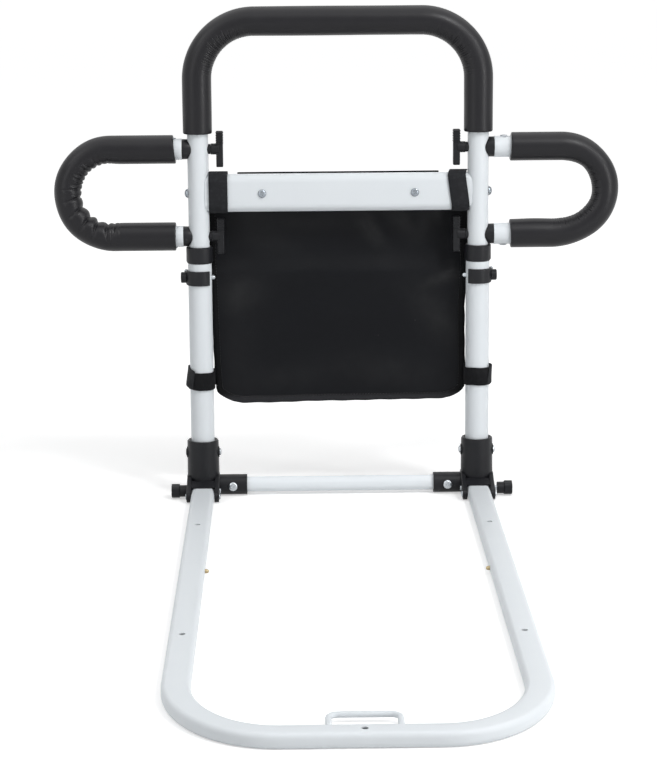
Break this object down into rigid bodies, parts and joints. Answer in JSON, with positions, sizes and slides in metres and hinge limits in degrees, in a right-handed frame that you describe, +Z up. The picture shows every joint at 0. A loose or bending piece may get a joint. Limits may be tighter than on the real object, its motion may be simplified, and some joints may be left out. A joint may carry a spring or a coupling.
{
  "type": "bed rail",
  "caption": "Bed rail to hold when getting up: folding base for under a mattress, padded arch that slides up to set its height, padded side handles and a fabric pouch.",
  "frame": {"origin": "on the floor plane, midway between the two uprights and straight under their axes", "axes": "+Z up, -Y along the base toward the middle of the bed, +Y toward the person who stands beside the bed, +X to the right seen from the bed"},
  "size_m": [0.6788, 0.9493, 0.5944],
  "materials": {
    "base_frame": "gloss white powder coat",
    "beam": "gloss white powder coat",
    "beam_bolt_L": "bright zinc",
    "beam_bolt_R": "bright zinc",
    "beam_screw_L": "bright zinc",
    "beam_screw_R": "bright zinc",
    "beam_strap_L": "coated woven cloth, matt",
    "beam_strap_R": "coated woven cloth, matt",
    "clamp_knob_L": "satin",
    "clamp_knob_R": "satin",
    "clamp_stud_L": "bright zinc",
    "clamp_stud_R": "bright zinc",
    "collar_L": "satin",
    "collar_R": "satin",
    "crossbar": "gloss white powder coat",
    "crossbar_screw_L": "bright zinc",
    "crossbar_screw_R": "bright zinc",
    "handle_knob_lower_L": "satin",
    "handle_knob_lower_R": "satin",
    "handle_knob_upper_L": "satin",
    "handle_knob_upper_R": "satin",
    "handle_plug_lower_L": "satin",
    "handle_plug_lower_R": "satin",
    "handle_plug_upper_L": "satin",
    "handle_plug_upper_R": "satin",
    "height_clip_L": "satin",
    "height_clip_R": "satin",
    "height_pin_L": "bright zinc",
    "height_pin_R": "bright zinc",
    "hinge_bracket_L": "satin",
    "hinge_bracket_R": "satin",
    "knob_washer_lower_L": "satin",
    "knob_washer_lower_R": "satin",
    "knob_washer_upper_L": "satin",
    "knob_washer_upper_R": "satin",
    "leg_button_L": "satin",
    "leg_button_R": "satin",
    "leg_spring_L": "spring steel",
    "leg_spring_R": "spring steel",
    "lower_tube_L": "gloss white powder coat",
    "lower_tube_R": "gloss white powder coat",
    "pivot_bolt_L": "bright zinc",
    "pivot_bolt_R": "bright zinc",
    "plug_screw_lower_L": "bright zinc",
    "plug_screw_lower_R": "bright zinc",
    "plug_screw_upper_L": "bright zinc",
    "plug_screw_upper_R": "bright zinc",
    "pouch": "coated woven cloth, matt",
    "side_grip_L": "closed-cell foam, satin",
    "side_grip_R": "closed-cell foam, satin",
    "side_handle_L": "gloss white powder coat",
    "side_handle_R": "gloss white powder coat",
    "socket_bolt_L": "bright zinc",
    "socket_bolt_R": "bright zinc",
    "socket_cap_L": "satin",
    "strap_loop": "gloss white powder coat",
    "top_grip": "closed-cell foam, satin",
    "tube_strap_L": "coated woven cloth, matt",
    "tube_strap_R": "coated woven cloth, matt",
    "upper_frame": "gloss white powder coat"
  },
  "bodies": {
    "base": {"base_frame": "base_frame", "strap_loop": "strap_loop", "leg_spring_L": "leg_spring_L", "leg_spring_R": "leg_spring_R"},
    "button_L": {"leg_button_L": "leg_button_L"},
    "button_R": {"leg_button_R": "leg_button_R"},
    "upright": {"crossbar": "crossbar", "hinge_bracket_L": "hinge_bracket_L", "hinge_bracket_R": "hinge_bracket_R", "pivot_bolt_L": "pivot_bolt_L", "pivot_bolt_R": "pivot_bolt_R", "crossbar_screw_L": "crossbar_screw_L", "crossbar_screw_R": "crossbar_screw_R", "socket_bolt_L": "socket_bolt_L", "socket_bolt_R": "socket_bolt_R", "lower_tube_L": "lower_tube_L", "lower_tube_R": "lower_tube_R", "collar_L": "collar_L", "collar_R": "collar_R", "socket_cap_L": "socket_cap_L"},
    "clamp_L": {"clamp_knob_L": "clamp_knob_L", "clamp_stud_L": "clamp_stud_L"},
    "clamp_R": {"clamp_knob_R": "clamp_knob_R", "clamp_stud_R": "clamp_stud_R"},
    "lock_L": {"height_clip_L": "height_clip_L", "height_pin_L": "height_pin_L"},
    "lock_R": {"height_clip_R": "height_clip_R", "height_pin_R": "height_pin_R"},
    "upper": {"upper_frame": "upper_frame", "top_grip": "top_grip", "beam": "beam", "pouch": "pouch", "beam_bolt_L": "beam_bolt_L", "beam_bolt_R": "beam_bolt_R", "beam_screw_L": "beam_screw_L", "beam_screw_R": "beam_screw_R", "side_handle_L": "side_handle_L", "side_handle_R": "side_handle_R", "side_grip_L": "side_grip_L", "side_grip_R": "side_grip_R", "beam_strap_L": "beam_strap_L", "beam_strap_R": "beam_strap_R", "tube_strap_L": "tube_strap_L", "tube_strap_R": "tube_strap_R", "handle_plug_upper_L": "handle_plug_upper_L", "handle_plug_upper_R": "handle_plug_upper_R", "handle_plug_lower_L": "handle_plug_lower_L", "handle_plug_lower_R": "handle_plug_lower_R", "plug_screw_upper_L": "plug_screw_upper_L", "plug_screw_upper_R": "plug_screw_upper_R", "plug_screw_lower_L": "plug_screw_lower_L", "plug_screw_lower_R": "plug_screw_lower_R", "knob_washer_upper_L": "knob_washer_upper_L", "knob_washer_upper_R": "knob_washer_upper_R", "knob_washer_lower_L": "knob_washer_lower_L", "knob_washer_lower_R": "knob_washer_lower_R"},
    "knob_upper_L": {"handle_knob_upper_L": "handle_knob_upper_L"},
    "knob_upper_R": {"handle_knob_upper_R": "handle_knob_upper_R"},
    "knob_lower_L": {"handle_knob_lower_L": "handle_knob_lower_L"},
    "knob_lower_R": {"handle_knob_lower_R": "handle_knob_lower_R"}
  },
  "joints": [
    {"name": "button_L_press", "type": "slide", "parent": "base", "child": "button_L", "axis": [-1, 0, 0], "range_m": [0, 0.0035], "stiffness_N_per_m": 600, "springref_m": -0.002, "deforming": ["leg_spring_L"]},
    {"name": "button_R_press", "type": "slide", "parent": "base", "child": "button_R", "axis": [1, 0, 0], "range_m": [0, 0.0035], "stiffness_N_per_m": 600, "springref_m": -0.002, "deforming": ["leg_spring_R"]},
    {"name": "base_fold", "type": "hinge", "parent": "base", "child": "upright", "pos_m": [0, -0.04, 0.0075], "axis": [1, 0, 0], "range_deg": [0, 90]},
    {"name": "clamp_L_turn", "type": "hinge", "parent": "upright", "child": "clamp_L", "pos_m": [-0.18775, -0.018, 0.0093], "axis": [-1, 0, 0], "continuous": true},
    {"name": "clamp_R_turn", "type": "hinge", "parent": "upright", "child": "clamp_R", "pos_m": [0.18775, -0.018, 0.0093], "axis": [1, 0, 0], "continuous": true},
    {"name": "height_lock_L_pull", "type": "slide", "parent": "upright", "child": "lock_L", "axis": [-1, 0, 0], "range_m": [0, 0.04], "deforming": ["height_clip_L"]},
    {"name": "height_lock_R_pull", "type": "slide", "parent": "upright", "child": "lock_R", "axis": [1, 0, 0], "range_m": [0, 0.04], "deforming": ["height_clip_R"]},
    {"name": "height_slide", "type": "slide", "parent": "upright", "child": "upper", "axis": [0, 0, 1], "range_m": [0, 0.0816]},
    {"name": "knob_upper_L_turn", "type": "hinge", "parent": "upper", "child": "knob_upper_L", "pos_m": [-0.168, 0, 0.426], "axis": [-1, 0, 0], "continuous": true},
    {"name": "knob_upper_R_turn", "type": "hinge", "parent": "upper", "child": "knob_upper_R", "pos_m": [0.168, 0, 0.426], "axis": [1, 0, 0], "continuous": true},
    {"name": "knob_lower_L_turn", "type": "hinge", "parent": "upper", "child": "knob_lower_L", "pos_m": [-0.168, 0, 0.3209], "axis": [-1, 0, 0], "continuous": true},
    {"name": "knob_lower_R_turn", "type": "hinge", "parent": "upper", "child": "knob_lower_R", "pos_m": [0.168, 0, 0.3209], "axis": [1, 0, 0], "continuous": true}
  ]
}
